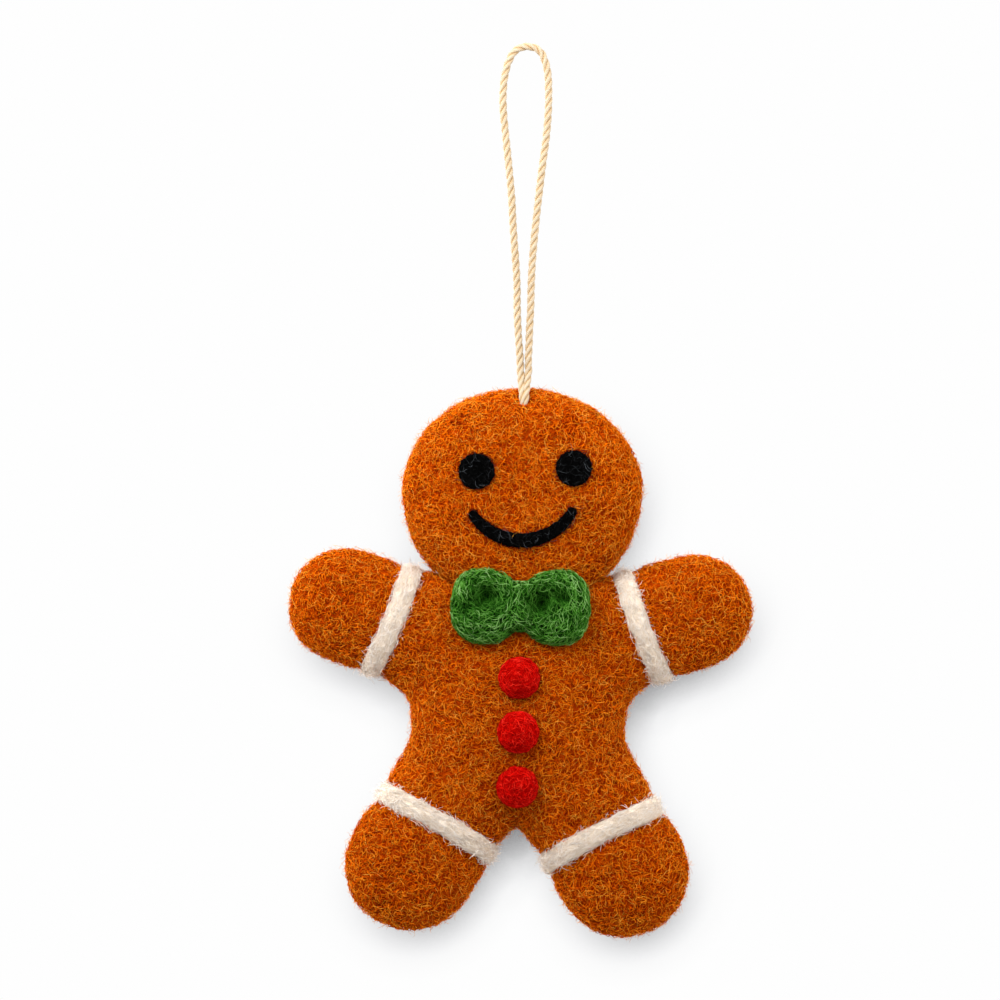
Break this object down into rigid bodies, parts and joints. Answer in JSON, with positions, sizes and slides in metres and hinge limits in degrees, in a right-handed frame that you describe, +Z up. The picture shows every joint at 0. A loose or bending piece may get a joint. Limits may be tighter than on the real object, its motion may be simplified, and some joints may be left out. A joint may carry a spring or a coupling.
{
  "type": "hanging felt ornament",
  "caption": "Needle-felted wool gingerbread figure with white limb bands, a green bow tie, red buttons and a smiling face, hung by a loop of twisted cotton cord",
  "frame": {"origin": "hang point, on the inside of the top of the cord loop", "axes": "+Z up along the cord, +Y towards the figure's back, so the figure faces -Y; left and right are as seen from the front"},
  "size_m": [0.0978, 0.0221, 0.1882],
  "materials": {
    "gingerbread_felt": "needle-felted dyed wool with loose surface fibres",
    "core_wool": "undyed carded wool, packed",
    "white_wool": "cream wool roving felted on as a band",
    "black_wool": "tightly felted black wool",
    "green_wool": "loosely felted green wool",
    "red_wool": "tightly felted red wool ball",
    "cotton_cord": "twisted undyed cotton cord"
  },
  "bodies": {
    "hanger": {"hanging_loop": "cotton_cord"},
    "neck": {"cord_neck": "cotton_cord"},
    "figure": {"head_skin": "gingerbread_felt", "torso_skin": "gingerbread_felt", "left_arm_skin": "gingerbread_felt", "right_arm_skin": "gingerbread_felt", "left_leg_skin": "gingerbread_felt", "right_leg_skin": "gingerbread_felt", "head_core": "core_wool", "torso_core": "core_wool", "neck_plug": "core_wool", "left_arm_core": "core_wool", "right_arm_core": "core_wool", "left_leg_core": "core_wool", "right_leg_core": "core_wool", "left_arm_band": "white_wool", "right_arm_band": "white_wool", "left_leg_band": "white_wool", "right_leg_band": "white_wool", "left_eye": "black_wool", "right_eye": "black_wool", "smile": "black_wool", "bow_left_loop": "green_wool", "bow_right_loop": "green_wool", "bow_knot": "green_wool", "top_button": "red_wool", "middle_button": "red_wool", "bottom_button": "red_wool", "anchor_knot": "cotton_cord"}
  },
  "joints": [
    {"name": "figure_swing", "type": "hinge", "parent": "hanger", "child": "neck", "pos_m": [0, 0, -0.06945], "axis": [1, 0, 0], "range_deg": [-75, 75]},
    {"name": "figure_twist", "type": "hinge", "parent": "neck", "child": "figure", "pos_m": [0, 0, -0.06945], "axis": [0, 0, 1], "range_deg": [-90, 90]}
  ]
}
